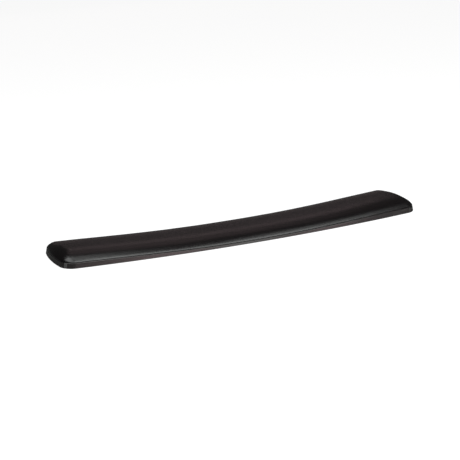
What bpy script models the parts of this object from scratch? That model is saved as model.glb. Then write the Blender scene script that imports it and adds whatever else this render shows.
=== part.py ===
"""Keyboard wrist rest: a leatherette gel pad, crowned and slightly dished, on a moulded plastic tray.

X runs along the bar, -Y is the side nearest the typist, Z is up and z = 0 is the desk.
Every layer is a stack of nested rings around the bar, bent to one plan arc and one dish.
"""

import math

import bmesh
import bpy

MM = 0.001

# The bar as a whole
LENGTH = 483 * MM
WIDTH = 78.2 * MM
SAGITTA = 16 * MM  # rise of the plan arc over the length
END_BULGE = 5.2 * MM
BULGE_RUN = 40 * MM
FRONT_RADIUS = 12.1 * MM
REAR_RADIUS = 10.1 * MM
CORNER_SHRINK = 0.58  # how much smaller the corners get as a ring moves in
CORNER_LEAST = 3 * MM
CORNER_SHARE = 0.98  # the largest corner radius, as a share of the ring's half width
DISH = 3.6 * MM  # how much higher the seam sits at the ends than in the middle
SEAM_MID = 3.3 * MM  # the seam above the desk in the middle

# The crowned pad, with heights measured up from the seam
PAD_HEIGHT = 10.15 * MM
PAD_INSET = 0.9 * MM
PAD_FOOT = 0.6 * MM  # height at which the crown starts
CROWN_RUN = 2.94
CROWN_ROUND = 1.31
END_SLOPE = 11.7 * MM  # how far in from the end the crown still rises
END_RUN = 1.83
END_TAIL = 2.9 * MM  # how much farther in the end's last gentle rise reaches
END_TAIL_RUN = 3.3
CROWN_SHARES = (0, 0.015, 0.05, 0.1, 0.17, 0.25, 0.34, 0.45, 0.6, 0.8, 1)
HOLLOW = 0.37 * MM  # how deep the two shallow hollows lie, and how high the crests by them
RIDGE_HALF = 0.8 * MM  # half width of the last ring, where a crown or a plate closes

# Layers of the pad
SKIN = 1 * MM
HEM = 12 * MM
GLUE_LOW = 1.08 * MM
GLUE_HIGH = 1.3 * MM
GLUE_WIDTH = 7 * MM
CARRIER_LOW = 1.38 * MM
CARRIER_HIGH = 2.85 * MM
CARRIER_INSET = 2.3 * MM
CARRIER_CHAMFER = 1.5 * MM
CARRIER_EDGE = 0.5 * MM
BACKING_LOW = 2.95 * MM
BACKING_HIGH = 3.2 * MM
BACKING_INSET = 4.3 * MM
FILM = 0.25 * MM
GEL_LOW = 3.3 * MM
LAYER_GAP = 0.2 * MM

# Foam tapes that hold the pad on the tray, and the pegs that locate it
TAPE_LOW = 0 * MM
TAPE_HIGH = 1.25 * MM
TAPE_HALF = 15 * MM
TAPES = {"left": (-165, -90), "centre": (-60, 60), "right": (90, 165)}
TAPE_STEP = 15
PEG_RADIUS = 2.4 * MM
PEG_HOLE = 2.8 * MM
PEG_DROP = 1.9 * MM
PEG_ROOT = 0.6 * MM
PEG_PLACES = (-180, -75, 75, 180)

# The tray
TRAY_LIFT = 0.5 * MM  # the wall's lower edge above the desk
WALL = 1.8 * MM
WALL_DRAFT = 0.8 * MM
WALL_ROUND = 0.3 * MM
DECK_TOP = -0.15 * MM
DECK = 1.4 * MM
DECK_FILLET = 0.6 * MM
RIB = 1.2 * MM
RIB_LIFT = 0.9 * MM
RIB_ROOT = 0.5 * MM  # how far ribs and bosses reach into the deck
LONG_RIBS = (-13, 13)
LONG_RIB_END = 218
LONG_RIB_STEP = 22
CROSS_RIBS = (-218, -160, -112, -37, 37, 112, 160, 218)
CROSS_RIB_REACH = 37.9 * MM

# Feet
FOOT_RADIUS = 6 * MM
FOOT_HEIGHT = 1.2 * MM
FOOT_ROUND = 0.3 * MM
FOOT_TAPE_RADIUS = 5.6 * MM
FOOT_TAPE = (1.26 * MM, 1.46 * MM)
BOSS_RADIUS = 7 * MM
BOSS_LIFT = 1.54 * MM
FOOT_ACROSS = 25
FOOT_PLACES = {"left": -195, "centre": 0, "right": 195}
FOOT_ROWS = {"front": -1, "rear": 1}

# How finely the rings are divided
SIDE_STEPS = 24
CORNER_STEPS = 6
END_STEPS = 3
ROUND_STEPS = 20
SHARP_ANGLE = math.radians(35)

RADIUS = LENGTH**2 / (8 * SAGITTA)
QUARTER = math.pi / 2


def clear_scene():
    for obj in list(bpy.data.objects):
        bpy.data.objects.remove(obj, do_unlink=True)


def new_collection(name):
    collection = bpy.data.collections.new(name)
    bpy.context.scene.collection.children.link(collection)
    return collection


def new_material(name, color, roughness, metallic=0.0, alpha=1.0):
    material = bpy.data.materials.new(name)
    material.use_nodes = True
    material.diffuse_color = (*color, 1)
    shader = material.node_tree.nodes["Principled BSDF"]
    shader.inputs["Base Color"].default_value = (*color, 1)
    shader.inputs["Roughness"].default_value = roughness
    shader.inputs["Metallic"].default_value = metallic
    shader.inputs["Alpha"].default_value = alpha
    return material


# ---------------------------------------------------------------- the bar's shape


def line(start, end, steps):
    """Points from start towards end, without end itself."""
    shares = [i / steps for i in range(steps)]
    return [(start[0] + (end[0] - start[0]) * s, start[1] + (end[1] - start[1]) * s) for s in shares]


def arc(centre, radius, start):
    """A quarter turn counter-clockwise from the start angle, without its last point."""
    angles = [start + QUARTER * i / CORNER_STEPS for i in range(CORNER_STEPS)]
    return [(centre[0] + radius * math.cos(a), centre[1] + radius * math.sin(a)) for a in angles]


def bulged(point, half_length, half_width):
    """The point pushed outwards near the bar's ends, most on the centre line."""
    u, v = point
    share = (abs(u) - (half_length - BULGE_RUN)) / BULGE_RUN
    share = min(max(share, 0), 1)
    share = share * share * (3 - 2 * share)
    return u + math.copysign(END_BULGE * (1 - (v / half_width) ** 2) * share, u), v


def corner_radius(radius, side_inset):
    radius = max(radius - CORNER_SHRINK * side_inset, CORNER_LEAST)
    return min(radius, CORNER_SHARE * (WIDTH / 2 - side_inset))


def flat_ring(side_inset, end_inset):
    """One rounded outline in (along, across), from the left tip round by the front."""
    x = LENGTH / 2 - END_BULGE - end_inset
    y = WIDTH / 2 - side_inset
    f = corner_radius(FRONT_RADIUS, side_inset)
    r = corner_radius(REAR_RADIUS, side_inset)
    points = line((-x, 0), (-x, f - y), END_STEPS)
    points += arc((f - x, f - y), f, math.pi)
    points += line((f - x, -y), (x - f, -y), SIDE_STEPS)
    points += arc((x - f, f - y), f, 3 * QUARTER)
    points += line((x, f - y), (x, 0), END_STEPS)
    points += line((x, 0), (x, y - r), END_STEPS)
    points += arc((x - r, y - r), r, 0)
    points += line((x - r, y), (r - x, y), SIDE_STEPS)
    points += arc((r - x, y - r), r, QUARTER)
    points += line((-x, y - r), (-x, 0), END_STEPS)
    return [bulged(point, x, y) for point in points]


def bent(u, v):
    """A place along and across the bar, moved onto the plan arc."""
    turn = u / RADIUS
    reach = RADIUS - v
    return reach * math.sin(turn), RADIUS - reach * math.cos(turn)


def plan_middle():
    """The middle of the bent outline, front to back."""
    across = [bent(u, v)[1] for u, v in flat_ring(0, 0)]
    return (min(across) + max(across)) / 2


PLAN_MIDDLE = plan_middle()


def dished(u, height):
    """A height above the seam, as a height above the desk."""
    return SEAM_MID + height + DISH * (1 - math.cos(2 * math.pi * u / LENGTH)) / 2


def placed(u, v, z):
    x, y = bent(u, v)
    return x, y - PLAN_MIDDLE, z


def wave(u):
    """One at the bar's middle and ends, and minus one at the two hollows between them."""
    return math.cos(4 * math.pi * u / LENGTH)


def ring(side_inset, end_inset, height, crest=0):
    """One ring of points that follows the dish, and the hollows by as much as crest."""
    flat = flat_ring(side_inset, end_inset)
    return [placed(u, v, dished(u, height) + crest * wave(u)) for u, v in flat]


def level_ring(side_inset, end_inset, z):
    """One ring of points at one height above the desk."""
    return [placed(u, v, z) for u, v in flat_ring(side_inset, end_inset)]


def ridge_ring(height):
    """The narrow ring along the centre line that closes a plate."""
    return ring(WIDTH / 2 - RIDGE_HALF, END_SLOPE + END_TAIL, height)


def crown_height(share):
    return (1 - (1 - share) ** CROWN_RUN) ** (1 / CROWN_ROUND)


def end_reach(share):
    """How far in from the end a crown's ring lies, when it is a share of the way to the ridge."""
    return END_SLOPE * (1 - (1 - share) ** END_RUN) + END_TAIL * share**END_TAIL_RUN


def share_at(height_share):
    """How far in towards the ridge a crown reaches a share of its height."""
    return 1 - (1 - height_share**CROWN_ROUND) ** (1 / CROWN_RUN)


def crown(inset, low, high, floor):
    """Rings of a crowned surface, from where it crosses the floor up to the ridge."""
    reach = WIDTH / 2 - RIDGE_HALF - inset
    first = share_at((floor - low) / (high - low))
    rings = []
    for step in CROWN_SHARES:
        share = first + (1 - first) * step
        height = low + (high - low) * crown_height(share)
        crest = HOLLOW * (height - floor) / (high - floor)
        rings.append(ring(inset + reach * share, inset + end_reach(share), height, crest))
    return rings


def lining(gap):
    """Rings of a surface that gap below the inside of the cover, above the backing film."""
    inset = PAD_INSET + SKIN + gap
    return crown(inset, PAD_FOOT + SKIN, PAD_HEIGHT - SKIN - gap, GEL_LOW)


# ---------------------------------------------------------------- meshes


def object_from(name, mesh_builder, collection, material=None):
    """A new object from a bmesh, facing outwards and shaded smooth between sharp edges."""
    bmesh.ops.recalc_face_normals(mesh_builder, faces=mesh_builder.faces)
    mesh = bpy.data.meshes.new(name)
    mesh_builder.to_mesh(mesh)
    mesh_builder.free()
    mesh.shade_smooth()
    mesh.set_sharp_from_angle(angle=SHARP_ANGLE)
    obj = bpy.data.objects.new(name, mesh)
    collection.objects.link(obj)
    if material:
        mesh.materials.append(material)
    return obj


def bridge(builder, lower, upper):
    count = len(lower)
    for i in range(count):
        j = (i + 1) % count
        builder.faces.new((lower[i], lower[j], upper[j], upper[i]))


def ladder_cap(builder, verts):
    """Closes a ring with rungs from its front side to its rear side."""
    count = len(verts)
    for i in range(1, count // 2 - 1):
        builder.faces.new((verts[i], verts[i + 1], verts[count - i - 1], verts[count - i]))
    builder.faces.new((verts[0], verts[1], verts[-1]))
    half = count // 2
    builder.faces.new((verts[half - 1], verts[half], verts[half + 1]))


def layered(name, rings, collection, material):
    """A closed body skinned over rings, from the first ring's cap to the last one's."""
    builder = bmesh.new()
    verts = [[builder.verts.new(point) for point in points] for points in rings]
    for lower, upper in zip(verts, verts[1:]):
        bridge(builder, lower, upper)
    ladder_cap(builder, verts[0])
    ladder_cap(builder, verts[-1])
    return object_from(name, builder, collection, material)


def looped(name, rings, collection, material):
    """A frame-shaped body skinned over rings, with the last ring joined to the first."""
    builder = bmesh.new()
    verts = [[builder.verts.new(point) for point in points] for points in rings]
    for lower, upper in zip(verts, verts[1:] + verts[:1]):
        bridge(builder, lower, upper)
    return object_from(name, builder, collection, material)


def strip(name, stations, across, heights, collection, material=None):
    """A straight-sided strip along the bar; heights gives its bottom and top at a station."""
    builder = bmesh.new()
    rows = []
    for u in stations:
        low, high = heights(u)
        corners = [(across[0], low), (across[1], low), (across[1], high), (across[0], high)]
        rows.append([builder.verts.new(placed(u, v, z)) for v, z in corners])
    for first, second in zip(rows, rows[1:]):
        bridge(builder, first, second)
    builder.faces.new(rows[0])
    builder.faces.new(rows[-1])
    return object_from(name, builder, collection, material)


def disc(name, place, radius, heights, collection, material=None):
    """An upright cylinder at a place along and across the bar."""
    low, high = heights
    builder = bmesh.new()
    bmesh.ops.create_cone(
        builder,
        cap_ends=True,
        segments=ROUND_STEPS,
        radius1=radius,
        radius2=radius,
        depth=high - low,
    )
    x, y, z = placed(*place, (low + high) / 2)
    bmesh.ops.translate(builder, verts=builder.verts, vec=(x, y, z))
    return object_from(name, builder, collection, material)


def combine(target, tool, operation):
    modifier = target.modifiers.new(f"{operation.lower()} {tool.name}", "BOOLEAN")
    modifier.operation = operation
    modifier.solver = "EXACT"
    modifier.object = tool


def helper_look(obj):
    obj.hide_render = True
    obj.display_type = "WIRE"
    return obj


def round_edges(obj, width):
    bevel = obj.modifiers.new("rounded edge", "BEVEL")
    bevel.width = width
    bevel.segments = 2
    bevel.limit_method = "ANGLE"


# ---------------------------------------------------------------- the tray


def tray_shell(parts, material):
    outer_low = level_ring(0, 0, TRAY_LIFT + WALL_ROUND)
    foot = level_ring(WALL_ROUND, WALL_ROUND, TRAY_LIFT)
    inner_foot = level_ring(WALL, WALL, TRAY_LIFT)
    under = DECK_TOP - DECK
    inner_top = ring(WALL + WALL_DRAFT, WALL + WALL_DRAFT, under - DECK_FILLET)
    inset = WALL + WALL_DRAFT + DECK_FILLET
    rings = [
        ridge_ring(under),
        ring(inset, inset, under),
        inner_top,
        inner_foot,
        foot,
        outer_low,
        ring(WALL_DRAFT, WALL_DRAFT, DECK_TOP - WALL_ROUND),
        ring(WALL_DRAFT + WALL_ROUND, WALL_DRAFT + WALL_ROUND, DECK_TOP),
        ridge_ring(DECK_TOP),
    ]
    return layered("base_tray", rings, parts, material)


def rib_heights(u):
    return RIB_LIFT, dished(u, DECK_TOP - DECK + RIB_ROOT)


def add_long_ribs(tray, helpers):
    reach = range(-LONG_RIB_END, LONG_RIB_END + 1, LONG_RIB_STEP)
    stations = [u * MM for u in (*reach, LONG_RIB_END)]
    stations = sorted(set(stations))
    for i, v in enumerate(LONG_RIBS):
        across = (v * MM - RIB / 2, v * MM + RIB / 2)
        rib = strip(f"long_rib_{i}", stations, across, rib_heights, helpers)
        combine(tray, helper_look(rib), "UNION")


def add_cross_ribs(tray, helpers):
    across = (-CROSS_RIB_REACH, CROSS_RIB_REACH)
    for i, u in enumerate(CROSS_RIBS):
        stations = (u * MM - RIB / 2, u * MM + RIB / 2)
        rib = strip(f"cross_rib_{i}", stations, across, rib_heights, helpers)
        combine(tray, helper_look(rib), "UNION")


def foot_places():
    for row, side in FOOT_ROWS.items():
        for name, u in FOOT_PLACES.items():
            yield f"{row}_{name}", (u * MM, side * FOOT_ACROSS * MM)


def add_bosses(tray, helpers):
    for name, place in foot_places():
        heights = (BOSS_LIFT, dished(place[0], DECK_TOP - DECK + RIB_ROOT))
        boss = disc(f"boss_{name}", place, BOSS_RADIUS, heights, helpers)
        combine(tray, helper_look(boss), "UNION")


def cut_peg_holes(tray, helpers):
    for i, u in enumerate(PEG_PLACES):
        place = (u * MM, 0)
        heights = (0, dished(u * MM, MM))
        hole = disc(f"peg_hole_{i}", place, PEG_HOLE, heights, helpers)
        combine(tray, helper_look(hole), "DIFFERENCE")


def build_tray(parts, helpers):
    material = new_material("black_moulded_plastic", (0.03, 0.028, 0.028), 0.5)
    tray = tray_shell(parts, material)
    add_long_ribs(tray, helpers)
    add_cross_ribs(tray, helpers)
    add_bosses(tray, helpers)
    cut_peg_holes(tray, helpers)


def build_feet(parts):
    rubber = new_material("foot_rubber", (0.045, 0.045, 0.047), 0.85)
    adhesive = new_material("foot_adhesive", (0.55, 0.52, 0.45), 0.6)
    for name, place in foot_places():
        foot = disc(f"foot_{name}", place, FOOT_RADIUS, (0, FOOT_HEIGHT), parts, rubber)
        round_edges(foot, FOOT_ROUND)
        disc(f"foot_tape_{name}", place, FOOT_TAPE_RADIUS, FOOT_TAPE, parts, adhesive)


# ---------------------------------------------------------------- the pad


def build_tapes(parts):
    foam = new_material("foam_tape", (0.72, 0.71, 0.68), 0.9)
    for name, (start, end) in TAPES.items():
        stations = [u * MM for u in range(start, end + 1, TAPE_STEP)]
        strip(
            f"pad_tape_{name}",
            stations,
            (-TAPE_HALF, TAPE_HALF),
            lambda u: (dished(u, TAPE_LOW), dished(u, TAPE_HIGH)),
            parts,
            foam,
        )


def build_carrier(parts, helpers):
    material = new_material("grey_carrier_plastic", (0.2, 0.2, 0.21), 0.6)
    top_inset = CARRIER_INSET + CARRIER_CHAMFER
    rings = [
        ridge_ring(CARRIER_LOW),
        ring(CARRIER_INSET, CARRIER_INSET, CARRIER_LOW),
        ring(CARRIER_INSET, CARRIER_INSET, CARRIER_LOW + CARRIER_EDGE),
        ring(top_inset, top_inset, CARRIER_HIGH),
        ridge_ring(CARRIER_HIGH),
    ]
    carrier = layered("pad_carrier", rings, parts, material)
    for i, u in enumerate(PEG_PLACES):
        heights = (dished(u * MM, -PEG_DROP), dished(u * MM, CARRIER_LOW + PEG_ROOT))
        peg = disc(f"peg_{i}", (u * MM, 0), PEG_RADIUS, heights, helpers)
        combine(carrier, helper_look(peg), "UNION")


def build_hem_glue(parts):
    material = new_material("hem_adhesive", (0.5, 0.4, 0.22), 0.4)
    outer = CARRIER_INSET + LAYER_GAP
    inner = outer + GLUE_WIDTH
    rings = [
        ring(inner, inner, GLUE_LOW),
        ring(outer, outer, GLUE_LOW),
        ring(outer, outer, GLUE_HIGH),
        ring(inner, inner, GLUE_HIGH),
    ]
    looped("hem_adhesive", rings, parts, material)


def build_gel(parts):
    gel = new_material("soft_gel", (0.12, 0.3, 0.5), 0.15, alpha=0.85)
    film = new_material("clear_film", (0.7, 0.75, 0.78), 0.25, alpha=0.5)
    backing = [
        ridge_ring(BACKING_LOW),
        ring(BACKING_INSET, BACKING_INSET, BACKING_LOW),
        ring(BACKING_INSET, BACKING_INSET, BACKING_HIGH),
        ridge_ring(BACKING_HIGH),
    ]
    layered("gel_backing_film", backing, parts, film)
    top_film = lining(LAYER_GAP + FILM)[::-1] + lining(LAYER_GAP)
    layered("gel_top_film", top_film, parts, film)
    body = [ridge_ring(GEL_LOW)] + lining(LAYER_GAP + FILM + LAYER_GAP)
    layered("gel_core", body, parts, gel)


def build_cover(parts):
    material = new_material("black_leatherette", (0.02, 0.018, 0.019), 0.42)
    hem_edge = PAD_INSET + HEM
    inner_inset = PAD_INSET + SKIN
    inside = crown(inner_inset, PAD_FOOT + SKIN, PAD_HEIGHT - SKIN, PAD_FOOT + SKIN)
    hem = [
        ring(inner_inset, inner_inset, SKIN),
        ring(hem_edge, hem_edge, SKIN),
        ring(hem_edge, hem_edge, 0),
        ring(PAD_INSET + PAD_FOOT, PAD_INSET + PAD_FOOT, 0),
        ring(PAD_INSET + PAD_FOOT / 4, PAD_INSET + PAD_FOOT / 4, PAD_FOOT / 3),
    ]
    outside = crown(PAD_INSET, PAD_FOOT, PAD_HEIGHT, PAD_FOOT)
    layered("leatherette_cover", inside[::-1] + hem + outside, parts, material)


def main():
    clear_scene()
    parts = new_collection("keyboard_wrist_rest")
    helpers = new_collection("cutters")
    build_tray(parts, helpers)
    build_feet(parts)
    build_tapes(parts)
    build_carrier(parts, helpers)
    build_hem_glue(parts)
    build_gel(parts)
    build_cover(parts)


main()
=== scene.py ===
"""Looks of the keyboard wrist rest: a leatherette gel pad on a moulded plastic tray.

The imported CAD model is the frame. The pad's cover is rebuilt here as one closed, crowned form
with a small billow from a cloth pass, relief and grain. It is not hollow, so it also fills the
space of the gel, the films and the hem's adhesive. All other pieces stay and get new materials.
X runs along the bar, -Y is the side nearest the typist, Z is up. Lengths are in metres.
"""

import math

import bmesh
import bpy
import numpy as np
from mathutils import Matrix, Vector, noise


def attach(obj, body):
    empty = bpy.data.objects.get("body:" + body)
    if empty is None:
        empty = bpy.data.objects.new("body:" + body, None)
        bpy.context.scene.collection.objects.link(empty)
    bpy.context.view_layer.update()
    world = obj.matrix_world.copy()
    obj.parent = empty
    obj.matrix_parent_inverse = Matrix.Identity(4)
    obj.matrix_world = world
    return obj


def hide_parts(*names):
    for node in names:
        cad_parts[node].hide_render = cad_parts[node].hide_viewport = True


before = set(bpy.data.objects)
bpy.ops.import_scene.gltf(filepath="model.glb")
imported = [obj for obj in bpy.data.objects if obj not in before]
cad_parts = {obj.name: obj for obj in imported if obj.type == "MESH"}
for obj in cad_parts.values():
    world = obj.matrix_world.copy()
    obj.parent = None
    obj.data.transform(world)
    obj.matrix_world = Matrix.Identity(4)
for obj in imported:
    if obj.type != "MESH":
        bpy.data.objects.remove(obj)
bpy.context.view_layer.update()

MM = 0.001

# The bar's plan and dish, as in the CAD
LENGTH = 483 * MM
WIDTH = 78.2 * MM
SAGITTA = 16 * MM
END_BULGE = 5.2 * MM
BULGE_RUN = 40 * MM
FRONT_RADIUS = 12.1 * MM
REAR_RADIUS = 10.1 * MM
CORNER_SHRINK = 0.58  # how much a corner's radius loses per step inwards
CORNER_LEAST = 3 * MM
CORNER_SHARE = 0.98  # the largest radius, as a share of half the ring's width
DISH = 3.6 * MM  # how much higher the ends stand than the middle
SEAM_MID = 3.3 * MM  # height of the seam in the middle
PLAN_RADIUS = LENGTH**2 / (8 * SAGITTA)
QUARTER = math.pi / 2

# The cover's section
PAD_HEIGHT = 10.15 * MM
PAD_INSET = 0.9 * MM  # how far the pad stands back from the tray's rim
PAD_FOOT = 0.6 * MM  # size of the rounded lower edge
CROWN_RUN = 2.94  # higher is steeper at the long sides and flatter on top
CROWN_ROUND = 1.31  # higher starts the rise from the edge more upright
END_SLOPE = 11.7 * MM  # how far in from the end the crown still rises
END_RUN = 1.83  # higher gains more of that reach low down
END_TAIL = 2.9 * MM  # how much farther in the end's last gentle rise reaches
END_TAIL_RUN = 3.3  # higher keeps that rise nearer the ridge
HOLLOW = 0.37 * MM  # how deep the two shallow hollows lie, and how high the crests by them
RIDGE_HALF = 0.8 * MM  # half the width of the innermost ring
HEM = 12 * MM
HEM_LIFT = 0.02 * MM  # keeps the hem off the tray's edge
HEM_TURN = 2 * MM  # the flat run beside the cover's lower edge
FOOT_SHARE = 0.3  # where the rounded lower edge has its middle ring
SKIN = 1 * MM  # how high above the seam the underside lies inside the hem
CROWN_RINGS = 22
RING_CROWDING = 1.7  # above 1, rings crowd towards the edge of the crown

# How finely the cover is divided before its subdivision
SIDE_STEPS = 96
CORNER_STEPS = 14
END_STEPS = 8

# The cloth pass: the surface billows a little, and soft pins hold it near its modelled shape
FIRMNESS = 0.62  # how strongly the pins hold the surface
CLOTH_FRAMES = 14
CLOTH_PRESSURE = 2.5
CLOTH_QUALITY = 6
CLOTH_MASS = 0.2
CLOTH_STRETCH = 12
CLOTH_SHEAR = 4
CLOTH_BENDING = 0.6
BILLOW = 0.35 * MM  # the most that the surface may billow

# Relief of the cover after the cloth pass
RIPPLE = 0.05 * MM
RIPPLE_SIZE = 22 * MM
GATHER = 0.1 * MM
GATHER_PITCH = 3.4 * MM
GATHER_RISE = 3.5 * MM  # where the gathers have faded out and the ripples are full
MASK_SOFTNESS = 9  # how many points the gathers take to fade out beside a corner

# Tints of the studio lights
COOL = (0.97, 1, 0.985)
WARM = (1, 0.77, 0.79)

# Where the lights hang and stand
CEILING = 1.2
FRONT_WALL = -1.5
BACK_WALL = 1.5
LEFT_WALL = -2
RIGHT_WALL = 2
LEVEL_STEP = 0.1 * MM  # turns the sides of an overhead light along the axes

# The pale floor and world: white to the camera, dim to everything else
FLOOR_SIZE = 40
FLOOR_GLOW = 0.9
FLOOR_CHALK = (0.2, 0.2, 0.2, 1)
FLOOR_BOUNCE = (0.12, 0.12, 0.12, 1)
WORLD_TINT = (1, 0.985, 0.98, 1)
WORLD_DIM = 0.03
WHITE = (1, 1, 1, 1)

# The camera
VIEW_AZIMUTH = math.radians(-29.60)
VIEW_ELEVATION = math.radians(16.78)
VIEW_DISTANCE = 2.2727
VIEW_LENS = 148.0
VIEW_SENSOR = 36
AIM_RIGHT = -8.55 * MM
AIM_UP = 3.74 * MM


# ---------------------------------------------------------------- the bar's shape


def line(start, end, steps):
    """Points from start towards end, without end itself."""
    across, along = end[0] - start[0], end[1] - start[1]
    shares = [i / steps for i in range(steps)]
    return [(start[0] + across * share, start[1] + along * share) for share in shares]


def arc(centre, radius, start):
    """A quarter turn counter-clockwise from the start angle, without its last point."""
    angles = [start + QUARTER * i / CORNER_STEPS for i in range(CORNER_STEPS)]
    return [(centre[0] + radius * math.cos(a), centre[1] + radius * math.sin(a)) for a in angles]


def bulged(point, half_length, half_width):
    """The point pushed outwards near the bar's ends, most on the centre line."""
    u, v = point
    share = (abs(u) - (half_length - BULGE_RUN)) / BULGE_RUN
    share = min(max(share, 0), 1)
    share = share * share * (3 - 2 * share)
    return u + math.copysign(END_BULGE * (1 - (v / half_width) ** 2) * share, u), v


def corner_radius(radius, side_inset):
    """The radius of a corner on a ring that is set in from the outermost one."""
    radius = max(radius - CORNER_SHRINK * side_inset, CORNER_LEAST)
    return min(radius, CORNER_SHARE * (WIDTH / 2 - side_inset))


def flat_ring(side_inset, end_inset):
    """One rounded outline in (along, across), from the left tip round by the front."""
    x = LENGTH / 2 - END_BULGE - end_inset
    y = WIDTH / 2 - side_inset
    f = corner_radius(FRONT_RADIUS, side_inset)
    r = corner_radius(REAR_RADIUS, side_inset)
    points = line((-x, 0), (-x, f - y), END_STEPS)
    points += arc((f - x, f - y), f, math.pi)
    points += line((f - x, -y), (x - f, -y), SIDE_STEPS)
    points += arc((x - f, f - y), f, 3 * QUARTER)
    points += line((x, f - y), (x, 0), END_STEPS)
    points += line((x, 0), (x, y - r), END_STEPS)
    points += arc((x - r, y - r), r, 0)
    points += line((x - r, y), (r - x, y), SIDE_STEPS)
    points += arc((r - x, y - r), r, QUARTER)
    points += line((-x, y - r), (-x, 0), END_STEPS)
    return [bulged(point, x, y) for point in points]


def bent(u, v):
    """The point on the plan arc for a distance along and a distance across the bar."""
    turn = u / PLAN_RADIUS
    reach = PLAN_RADIUS - v
    return reach * math.sin(turn), PLAN_RADIUS - reach * math.cos(turn)


def plan_middle():
    across = [bent(u, v)[1] for u, v in flat_ring(0, 0)]
    return (min(across) + max(across)) / 2


PLAN_MIDDLE = plan_middle()


def seam_height(u):
    """Height of the seam between tray and pad, lowest in the middle of the bar."""
    return SEAM_MID + DISH * (1 - math.cos(2 * math.pi * u / LENGTH)) / 2


def wave(u):
    """One at the bar's middle and ends, and minus one at the two hollows between them."""
    return math.cos(4 * math.pi * u / LENGTH)


def ring(side_inset, end_inset, height, crest=0):
    """One ring of points on the bent and dished bar, hollowed by as much as crest."""
    points = []
    for u, v in flat_ring(side_inset, end_inset):
        x, y = bent(u, v)
        points.append((x, y - PLAN_MIDDLE, seam_height(u) + height + crest * wave(u)))
    return points


def crown_height(share):
    """Height of the crown, from none at its edge to one at the ridge."""
    return (1 - (1 - share) ** CROWN_RUN) ** (1 / CROWN_ROUND)


def end_reach(share):
    """How far in from the end a crown's ring lies, when it is a share of the way to the ridge."""
    return END_SLOPE * (1 - (1 - share) ** END_RUN) + END_TAIL * share**END_TAIL_RUN


def crown_rings(low, high):
    """Rings of the crown, from its edge up to the ridge."""
    reach = WIDTH / 2 - RIDGE_HALF - PAD_INSET
    rings = []
    for i in range(CROWN_RINGS + 1):
        share = (i / CROWN_RINGS) ** RING_CROWDING
        height = low + (high - low) * crown_height(share)
        crest = HOLLOW * crown_height(share)
        rings.append(ring(PAD_INSET + reach * share, PAD_INSET + end_reach(share), height, crest))
    return rings


def even_ring(inset, height):
    """A ring set in by the same amount at the sides and at the ends."""
    return ring(inset, inset, height)


def cover_rings():
    """The closed form of the cover: its underside with the hem, and then its crown."""
    hem_edge = PAD_INSET + HEM
    turn = PAD_INSET + PAD_FOOT
    rounding = PAD_FOOT * FOOT_SHARE
    under = [
        ring(WIDTH / 2 - RIDGE_HALF, END_SLOPE + END_TAIL, SKIN),
        even_ring(hem_edge, SKIN),
        even_ring(hem_edge, HEM_LIFT),
        even_ring(turn + HEM_TURN, HEM_LIFT),
        even_ring(turn, HEM_LIFT),
        even_ring(PAD_INSET + rounding, rounding),
    ]
    return under, crown_rings(PAD_FOOT, PAD_HEIGHT)


# ---------------------------------------------------------------- the cover


def skinned(name, rings):
    """A closed quad mesh over rings, capped across at the first and the last one."""
    builder = bmesh.new()
    rows = [[builder.verts.new(point) for point in points] for points in rings]
    count = len(rows[0])
    for lower, upper in zip(rows, rows[1:]):
        for i in range(count):
            j = (i + 1) % count
            builder.faces.new((lower[i], lower[j], upper[j], upper[i]))
    for row in (rows[0], rows[-1]):
        for i in range(1, count // 2 - 1):
            builder.faces.new((row[i], row[i + 1], row[count - i - 1], row[count - i]))
        builder.faces.new((row[0], row[1], row[-1]))
        half = count // 2
        builder.faces.new((row[half - 1], row[half], row[half + 1]))
    bmesh.ops.recalc_face_normals(builder, faces=builder.faces)
    mesh = bpy.data.meshes.new(name)
    builder.to_mesh(mesh)
    builder.free()
    obj = bpy.data.objects.new(name, mesh)
    bpy.context.scene.collection.objects.link(obj)
    return obj


def positions(mesh):
    found = np.empty(len(mesh.vertices) * 3)
    mesh.vertices.foreach_get("co", found)
    return found.reshape(-1, 3)


def set_positions(mesh, points):
    mesh.vertices.foreach_set("co", points.ravel())
    mesh.update()


def evaluated_mesh(obj):
    graph = bpy.context.evaluated_depsgraph_get()
    return bpy.data.meshes.new_from_object(obj.evaluated_get(graph))


def normals_of(mesh):
    found = np.empty(len(mesh.vertices) * 3)
    mesh.vertices.foreach_get("normal", found)
    return found.reshape(-1, 3)


def inflate(obj, fixed):
    """Runs the cloth pass and returns how far each point moved."""
    group = obj.vertex_groups.new(name="held")
    group.add([int(i) for i in np.flatnonzero(fixed)], 1.0, "REPLACE")
    group.add([int(i) for i in np.flatnonzero(~fixed)], FIRMNESS, "REPLACE")
    cloth = obj.modifiers.new("inflate", "CLOTH")
    settings = cloth.settings
    settings.quality = CLOTH_QUALITY
    settings.mass = CLOTH_MASS
    settings.tension_stiffness = CLOTH_STRETCH
    settings.compression_stiffness = CLOTH_STRETCH
    settings.shear_stiffness = CLOTH_SHEAR
    settings.bending_stiffness = CLOTH_BENDING
    settings.use_pressure = True
    settings.uniform_pressure_force = CLOTH_PRESSURE
    settings.vertex_group_mass = "held"
    settings.effector_weights.gravity = 0
    cloth.collision_settings.use_collision = False
    cloth.collision_settings.use_self_collision = False
    cloth.point_cache.frame_end = CLOTH_FRAMES
    before = positions(obj.data)
    for step in range(1, CLOTH_FRAMES + 1):
        bpy.context.scene.frame_set(step)
    moved = positions(evaluated_mesh(obj)) - before
    obj.modifiers.remove(cloth)
    return moved


def billowed(moved, normals, loose):
    """The outward part of the movement about its usual amount, softly limited."""
    rise = (moved * normals).sum(axis=1)
    rise = np.where(loose, rise - np.median(rise[loose]), 0)
    return normals * (BILLOW * np.tanh(rise / BILLOW))[:, None]


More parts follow.
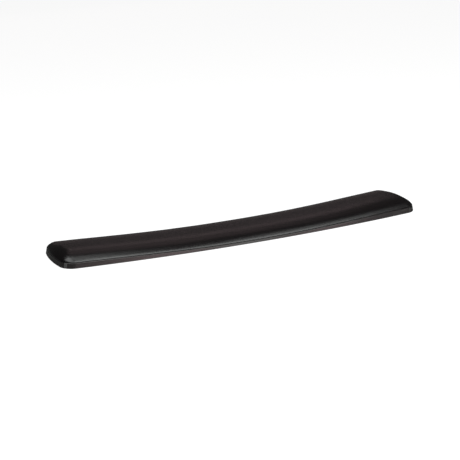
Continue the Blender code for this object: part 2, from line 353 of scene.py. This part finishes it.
def store(mesh, name, values):
    """Keeps one number for each point, which the subdivision carries to its new points."""
    attribute = mesh.attributes.new(name, "FLOAT", "POINT")
    attribute.data.foreach_set("value", np.asarray(values, np.float32))


def stored(mesh, name):
    values = np.empty(len(mesh.vertices), np.float32)
    mesh.attributes[name].data.foreach_get("value", values)
    return values.astype(float)


def corner_mask(count):
    """One over the four corners of a ring and none elsewhere, with soft ends."""
    mask = np.zeros(count)
    half_round = [END_STEPS, CORNER_STEPS, SIDE_STEPS, CORNER_STEPS, END_STEPS]
    start = 0
    for steps in half_round * 2:
        if steps == CORNER_STEPS:
            mask[start : start + steps + 1] = 1
        start += steps
    kernel = np.hanning(MASK_SOFTNESS)
    thrice = np.r_[mask, mask, mask]
    return np.convolve(thrice, kernel / kernel.sum(), "same")[count : 2 * count]


def relieved(mesh):
    """Gentle hand-wrapped relief: slow ripples on the crown and small gathers at the corners."""
    points = positions(mesh)
    normals = normals_of(mesh)
    rise = stored(mesh, "rise")
    ripple = np.array([noise.noise(Vector(p) / RIPPLE_SIZE) for p in points])
    height = np.clip(rise / GATHER_RISE, 0, 1)
    pleats = np.sin(2 * math.pi * stored(mesh, "reach") / GATHER_PITCH)
    fade = np.sin(math.pi * height) * (1 - height)
    offset = RIPPLE * ripple * height
    offset += GATHER * pleats * fade * stored(mesh, "corner")
    set_positions(mesh, points + normals * offset[:, None])


def build_cover():
    under, crown = cover_rings()
    obj = skinned("pad_cover", under + crown)
    target = positions(obj.data)
    count = len(crown[0])
    total = len(under) + len(crown)
    ring_of = np.arange(total * count) // count
    held = ring_of <= len(under)
    moved = inflate(obj, held)
    set_positions(obj.data, target + billowed(moved, normals_of(obj.data), ~held))
    edge = np.array(crown[0])
    reach = np.r_[0, np.cumsum(np.linalg.norm(np.diff(edge, axis=0), axis=1))]
    seam = edge[:, 2] - PAD_FOOT
    store(obj.data, "rise", np.maximum(target[:, 2] - np.tile(seam, total), 0))
    store(obj.data, "reach", np.tile(reach, total))
    store(obj.data, "corner", np.tile(corner_mask(count), total))
    subdivision = obj.modifiers.new("finer", "SUBSURF")
    subdivision.levels = subdivision.render_levels = 1
    fine = evaluated_mesh(obj)
    obj.modifiers.clear()
    obj.vertex_groups.clear()
    obj.data = fine
    relieved(fine)
    fine.shade_smooth()
    fine.materials.append(leatherette())
    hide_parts("leatherette_cover")
    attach(obj, "root")


# ---------------------------------------------------------------- materials


class Look:
    """A Principled material with small helpers for its nodes."""

    def __init__(self, name, color, roughness):
        self.material = bpy.data.materials.new(name)
        self.material.use_nodes = True
        self.tree = self.material.node_tree
        self.shader = self.tree.nodes["Principled BSDF"]
        self.shader.inputs["Base Color"].default_value = (*color, 1)
        self.shader.inputs["Roughness"].default_value = roughness
        self.color = color
        self.place = self.node("ShaderNodeTexCoord").outputs["Object"]

    def node(self, kind, **settings):
        made = self.tree.nodes.new(kind)
        for key, value in settings.items():
            setattr(made, key, value)
        return made

    def link(self, source, target):
        self.tree.links.new(source, target)

    def set(self, name, value):
        self.shader.inputs[name].default_value = value

    def noise(self, size, detail=3, rough=0.5):
        """A noise field whose features are about size metres across."""
        node = self.node("ShaderNodeTexNoise")
        node.inputs["Scale"].default_value = 1 / size
        node.inputs["Detail"].default_value = detail
        node.inputs["Roughness"].default_value = rough
        self.link(self.place, node.inputs["Vector"])
        return node.outputs["Fac"]

    def cells(self, size, feature="F1", jitter=None):
        """A cell pattern of about size metres, optionally pushed about by a noise field."""
        node = self.node("ShaderNodeTexVoronoi", feature=feature)
        node.inputs["Scale"].default_value = 1 / size
        vector = self.place
        if jitter:
            vector = self.pushed(vector, *jitter)
        self.link(vector, node.inputs["Vector"])
        return node.outputs["Distance"]

    def pushed(self, vector, size, amount):
        """Coordinates displaced by a noise field."""
        wobble = self.node("ShaderNodeTexNoise")
        wobble.inputs["Scale"].default_value = 1 / size
        self.link(vector, wobble.inputs["Vector"])
        centred = self.node("ShaderNodeVectorMath", operation="SUBTRACT")
        centred.inputs[1].default_value = (0.5, 0.5, 0.5)
        self.link(wobble.outputs["Color"], centred.inputs[0])
        scaled = self.node("ShaderNodeVectorMath", operation="SCALE")
        scaled.inputs["Scale"].default_value = amount
        self.link(centred.outputs[0], scaled.inputs[0])
        total = self.node("ShaderNodeVectorMath", operation="ADD")
        self.link(vector, total.inputs[0])
        self.link(scaled.outputs[0], total.inputs[1])
        return total.outputs[0]

    def mapped(self, source, low, high, start=0.0, end=1.0):
        """A field stretched from start..end to low..high."""
        node = self.node("ShaderNodeMapRange")
        node.inputs["From Min"].default_value = start
        node.inputs["From Max"].default_value = end
        node.inputs["To Min"].default_value = low
        node.inputs["To Max"].default_value = high
        self.link(source, node.inputs["Value"])
        return node.outputs["Result"]

    def maths(self, operation, first, second):
        node = self.node("ShaderNodeMath", operation=operation)
        for i, value in enumerate((first, second)):
            if isinstance(value, (int, float)):
                node.inputs[i].default_value = value
            else:
                self.link(value, node.inputs[i])
        return node.outputs[0]

    def blend_color(self, share, first, second):
        """A mix of two colours by a field."""
        node = self.node("ShaderNodeMix", data_type="RGBA")
        self.link(share, node.inputs["Factor"])
        for name, value in (("A", first), ("B", second)):
            socket = [s for s in node.inputs if s.name == name and s.type == "RGBA"][0]
            if isinstance(value, tuple):
                socket.default_value = (*value, 1)
            else:
                self.link(value, socket)
        return [s for s in node.outputs if s.type == "RGBA"][0]

    def tinted(self, share, amount):
        """Base colour varied lighter and darker by a field."""
        dark = tuple(c * (1 - amount) for c in self.color)
        light = tuple(c * (1 + amount) for c in self.color)
        self.link(self.blend_color(share, dark, light), self.shader.inputs["Base Color"])

    def rough(self, share, low, high):
        self.link(self.mapped(share, low, high), self.shader.inputs["Roughness"])

    def bump(self, height, depth, strength=1.0):
        """Adds relief of the given depth, over any relief already there."""
        node = self.node("ShaderNodeBump")
        node.inputs["Strength"].default_value = strength
        node.inputs["Distance"].default_value = depth
        self.link(height, node.inputs["Height"])
        socket = self.shader.inputs["Normal"]
        if socket.is_linked:
            self.link(socket.links[0].from_socket, node.inputs["Normal"])
        self.link(node.outputs["Normal"], socket)


def leatherette():
    """Black embossed vinyl: pebbled grain with painted shade in its valleys, fine creases, and a
    sheen that drifts a little.
    """
    look = Look("leatherette", (0.0032, 0.0024, 0.0026), 0.3)
    pebble = look.cells(1.0 * MM, "SMOOTH_F1", (2.4 * MM, 0.8 * MM))
    crease = look.cells(2.3 * MM, "DISTANCE_TO_EDGE", (3 * MM, 1.2 * MM))
    fine = look.noise(0.35 * MM, 4, 0.6)
    drift = look.noise(38 * MM, 3, 0.5)
    # Painted shade: the base colour darkens in the valleys between the pebbles. It also drifts
    # lighter and darker at random over broad patches.
    valley_shade_and_tone = look.maths("MULTIPLY", look.mapped(pebble, 1, 0.35), look.mapped(drift, 0.6, 1.1))
    wear = look.maths("ADD", look.mapped(pebble, 0, 0.6), look.mapped(drift, 0, 0.4))
    look.tinted(valley_shade_and_tone, 0.35)
    look.rough(wear, 0.2, 0.28)
    look.bump(look.mapped(pebble, 1, 0), 0.05 * MM, 0.6)
    look.bump(look.mapped(crease, 0, 1, 0, 0.12), 0.03 * MM, 0.5)
    look.bump(look.noise(1.7 * MM, 2, 0.5), 0.16 * MM, 0.8)
    look.bump(fine, 0.015 * MM, 0.5)
    look.set("IOR", 1.46)
    look.set("Sheen Weight", 0.015)
    look.set("Sheen Roughness", 0.5)
    return look.material


def moulded(name, color, low, high, texture=0.03 * MM, size=0.45 * MM):
    """Moulded plastic with a fine spark-eroded texture and faint handling marks."""
    look = Look(name, color, (low + high) / 2)
    spark = look.noise(size, 5, 0.65)
    handling = look.noise(24 * MM, 4, 0.6)
    look.tinted(handling, 0.2)
    look.rough(handling, low, high)
    look.bump(spark, texture, 0.5)
    return look.material


def rubber(name, color):
    look = Look(name, color, 0.8)
    speck = look.noise(0.6 * MM, 4, 0.7)
    look.tinted(look.noise(5 * MM), 0.25)
    look.rough(speck, 0.7, 0.92)
    look.bump(speck, 0.05 * MM, 0.6)
    return look.material


def gel():
    look = Look("soft_gel", (0.12, 0.3, 0.5), 0.18)
    look.tinted(look.noise(14 * MM), 0.25)
    look.rough(look.noise(9 * MM), 0.12, 0.24)
    look.bump(look.noise(6 * MM), 0.1 * MM, 0.4)
    look.set("Subsurface Weight", 0.35)
    look.set("Subsurface Radius", (2 * MM, 3 * MM, 5 * MM))
    return look.material


def film():
    look = Look("clear_film", (0.7, 0.75, 0.78), 0.25)
    look.tinted(look.noise(30 * MM), 0.06)
    look.rough(look.noise(4 * MM), 0.16, 0.34)
    look.bump(look.noise(7 * MM), 0.06 * MM, 0.4)
    look.set("Alpha", 0.6)
    return look.material


def adhesive(name, color, size):
    look = Look(name, color, 0.45)
    blotch = look.noise(size, 3, 0.6)
    look.tinted(blotch, 0.2)
    look.rough(blotch, 0.35, 0.6)
    look.bump(blotch, 0.08 * MM, 0.5)
    return look.material


def foam():
    look = Look("foam_tape", (0.72, 0.71, 0.68), 0.9)
    pores_and_pit_shade = look.cells(0.5 * MM, "F1", (1 * MM, 0.3 * MM))
    # Painted shade: the colour darkens towards the middle of each pore, where the bump sinks into
    # a pit.
    look.tinted(pores_and_pit_shade, 0.15)
    look.rough(pores_and_pit_shade, 0.82, 0.96)
    look.bump(pores_and_pit_shade, 0.12 * MM, 0.7)
    return look.material


def dress(material, *nodes):
    """Gives a material to pieces that are kept from the CAD."""
    for name in nodes:
        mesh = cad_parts[name].data
        mesh.materials.clear()
        mesh.materials.append(material)


def dress_frame():
    names = sorted(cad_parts)
    pad_tapes = [n for n in names if n.startswith("pad_tape")]
    foot_tapes = [n for n in names if n.startswith("foot_tape")]
    feet = [n for n in names if n.startswith("foot_") and n not in foot_tapes]
    dress(moulded("black_moulded_plastic", (0.022, 0.0195, 0.019), 0.2, 0.3), "base_tray")
    dress(moulded("grey_carrier_plastic", (0.2, 0.2, 0.21), 0.5, 0.7), "pad_carrier")
    dress(gel(), "gel_core")
    dress(film(), "gel_top_film", "gel_backing_film")
    dress(adhesive("hem_adhesive", (0.5, 0.4, 0.22), 3 * MM), "hem_adhesive")
    dress(foam(), *pad_tapes)
    dress(adhesive("foot_adhesive", (0.55, 0.52, 0.45), 2 * MM), *foot_tapes)
    dress(rubber("foot_rubber", (0.045, 0.045, 0.047)), *feet)


# ---------------------------------------------------------------- studio


def camera_mix(tree, seen, unseen):
    """Shader for camera rays and another for every other ray."""
    path = tree.nodes.new("ShaderNodeLightPath")
    mix = tree.nodes.new("ShaderNodeMixShader")
    tree.links.new(path.outputs["Is Camera Ray"], mix.inputs["Fac"])
    tree.links.new(unseen, mix.inputs[1])
    tree.links.new(seen, mix.inputs[2])
    return mix.outputs[0]


def build_world():
    world = bpy.data.worlds.new("studio")
    world.use_nodes = True
    tree = world.node_tree
    tree.nodes.clear()
    white = tree.nodes.new("ShaderNodeBackground")
    white.inputs["Color"].default_value = WHITE
    dim = tree.nodes.new("ShaderNodeBackground")
    dim.inputs["Color"].default_value = WORLD_TINT
    dim.inputs["Strength"].default_value = WORLD_DIM
    output = tree.nodes.new("ShaderNodeOutputWorld")
    tree.links.new(camera_mix(tree, white.outputs[0], dim.outputs[0]), output.inputs["Surface"])
    bpy.context.scene.world = world


def diffuse(tree, color):
    shader = tree.nodes.new("ShaderNodeBsdfDiffuse")
    shader.inputs["Color"].default_value = color
    return shader.outputs[0]


def floor_material():
    """Glowing chalk white to the camera, and a dull grey in reflections."""
    material = bpy.data.materials.new("pale_floor")
    material.use_nodes = True
    tree = material.node_tree
    tree.nodes.clear()
    glow = tree.nodes.new("ShaderNodeEmission")
    glow.inputs["Strength"].default_value = FLOOR_GLOW
    both = tree.nodes.new("ShaderNodeAddShader")
    tree.links.new(glow.outputs[0], both.inputs[0])
    tree.links.new(diffuse(tree, FLOOR_CHALK), both.inputs[1])
    output = tree.nodes.new("ShaderNodeOutputMaterial")
    mixed = camera_mix(tree, both.outputs[0], diffuse(tree, FLOOR_BOUNCE))
    tree.links.new(mixed, output.inputs["Surface"])
    return material


def build_floor():
    size = FLOOR_SIZE
    mesh = bpy.data.meshes.new("floor")
    corners = [(-size, -size, 0), (size, -size, 0), (size, size, 0), (-size, size, 0)]
    mesh.from_pydata(corners, [], [(0, 1, 2, 3)])
    floor = bpy.data.objects.new("floor", mesh)
    bpy.context.scene.collection.objects.link(floor)
    mesh.materials.append(floor_material())


def softbox(name, place, aim, size, radiance, color):
    """A rectangular light that looks equally bright from everywhere in front of it."""
    light = bpy.data.lights.new(name, "AREA")
    light.shape = "RECTANGLE"
    light.size, light.size_y = size
    light.energy = radiance * math.pi * size[0] * size[1]
    light.color = color
    obj = bpy.data.objects.new(name, light)
    obj.location = place
    obj.rotation_euler = (Vector(aim) - Vector(place)).to_track_quat("-Z", "Y").to_euler()
    obj.visible_camera = False
    bpy.context.scene.collection.objects.link(obj)


def middle(span):
    return (span[0] + span[1]) / 2


def length(span):
    return span[1] - span[0]


def ceiling_light(name, across, along, radiance, color):
    """A light overhead that covers the given stretches, left to right and front to back."""
    x, y = middle(across), middle(along)
    below = (x, y + LEVEL_STEP, 0)
    softbox(name, (x, y, CEILING), below, (length(across), length(along)), radiance, color)


def wall_light(name, wall, across, upright, radiance, color):
    """A light that stands in front of or behind the bar and faces it."""
    x, z = middle(across), middle(upright)
    softbox(name, (x, wall, z), (x, 0, z), (length(across), length(upright)), radiance, color)


def end_light(name, wall, along, upright, radiance, color):
    """A light that stands beyond one end of the bar and faces it."""
    y, z = middle(along), middle(upright)
    softbox(name, (wall, y, z), (0, y, z), (length(along), length(upright)), radiance, color)


def build_lights():
    """Large soft lights: overhead, on the walls in front and behind, and low at the ends."""
    ceiling_light("key", (0.47, 0.83), (-1.5, -0.45), 3.5, COOL)
    ceiling_light("key_right", (0.83, 1.1), (-1.5, -0.45), 6, COOL)
    ceiling_light("key_rear", (0.65, 1.05), (-0.45, 0.05), 1.8, COOL)
    ceiling_light("key_gap", (0.28, 0.47), (-1.5, -0.45), 2.6, COOL)
    ceiling_light("strip", (0.1, 0.28), (-1.5, -0.45), 8, COOL)
    ceiling_light("strip_rear", (0.1, 0.28), (-0.45, -0.2), 3.9, COOL)
    ceiling_light("overhead", (-0.2, 0.28), (-0.2, 0.3), 1.8, COOL)
    ceiling_light("corner", (-1.0, -0.25), (-0.4, 0.35), 3.8, COOL)
    ceiling_light("front_left", (-1.0, 0), (-1.5, -0.4), 2.6, COOL)
    ceiling_light("top_rear", (0, 1.0), (0.6, 1.2), 0.28, WARM)
    wall_light("front_high", FRONT_WALL, (0.3, 1.0), (0.5, 1.2), 2.9, COOL)
    wall_light("front_high_left", FRONT_WALL, (-0.6, 0.3), (0.5, 1.2), 2.5, COOL)
    wall_light("front_mid", FRONT_WALL, (0, 1.4), (0.2, 0.5), 1.4, WARM)
    wall_light("front_low", FRONT_WALL, (0, 1.4), (0.02, 0.2), 3.3, WARM)
    wall_light("back_high", BACK_WALL, (0.4, 1.3), (0.8, 1.2), 0.42, WARM)
    wall_light("back_low", BACK_WALL, (0, 1.3), (0.05, 0.4), 0.13, WARM)
    end_light("left_low", LEFT_WALL, (-0.75, -0.4), (0.02, 0.15), 10, COOL)
    end_light("right_low", RIGHT_WALL, (-1.5, -0.8), (0.02, 0.4), 6, COOL)


def build_camera():
    azimuth, elevation = VIEW_AZIMUTH, VIEW_ELEVATION
    level = Vector((math.sin(azimuth), -math.cos(azimuth), 0))
    back = level * math.cos(elevation) + Vector((0, 0, math.sin(elevation)))
    right = Vector((math.cos(azimuth), math.sin(azimuth), 0))
    up = back.cross(right)
    camera = bpy.data.cameras.new("camera")
    camera.lens = VIEW_LENS
    camera.sensor_width = VIEW_SENSOR
    obj = bpy.data.objects.new("camera", camera)
    axes = Matrix((right, up, back)).transposed()
    aim = right * AIM_RIGHT + up * AIM_UP
    obj.matrix_world = Matrix.Translation(aim + back * VIEW_DISTANCE) @ axes.to_4x4()
    bpy.context.scene.collection.objects.link(obj)
    bpy.context.scene.camera = obj


def main():
    build_cover()
    dress_frame()
    build_world()
    build_floor()
    build_lights()
    build_camera()
    bpy.context.scene.view_settings.view_transform = "Standard"


main()
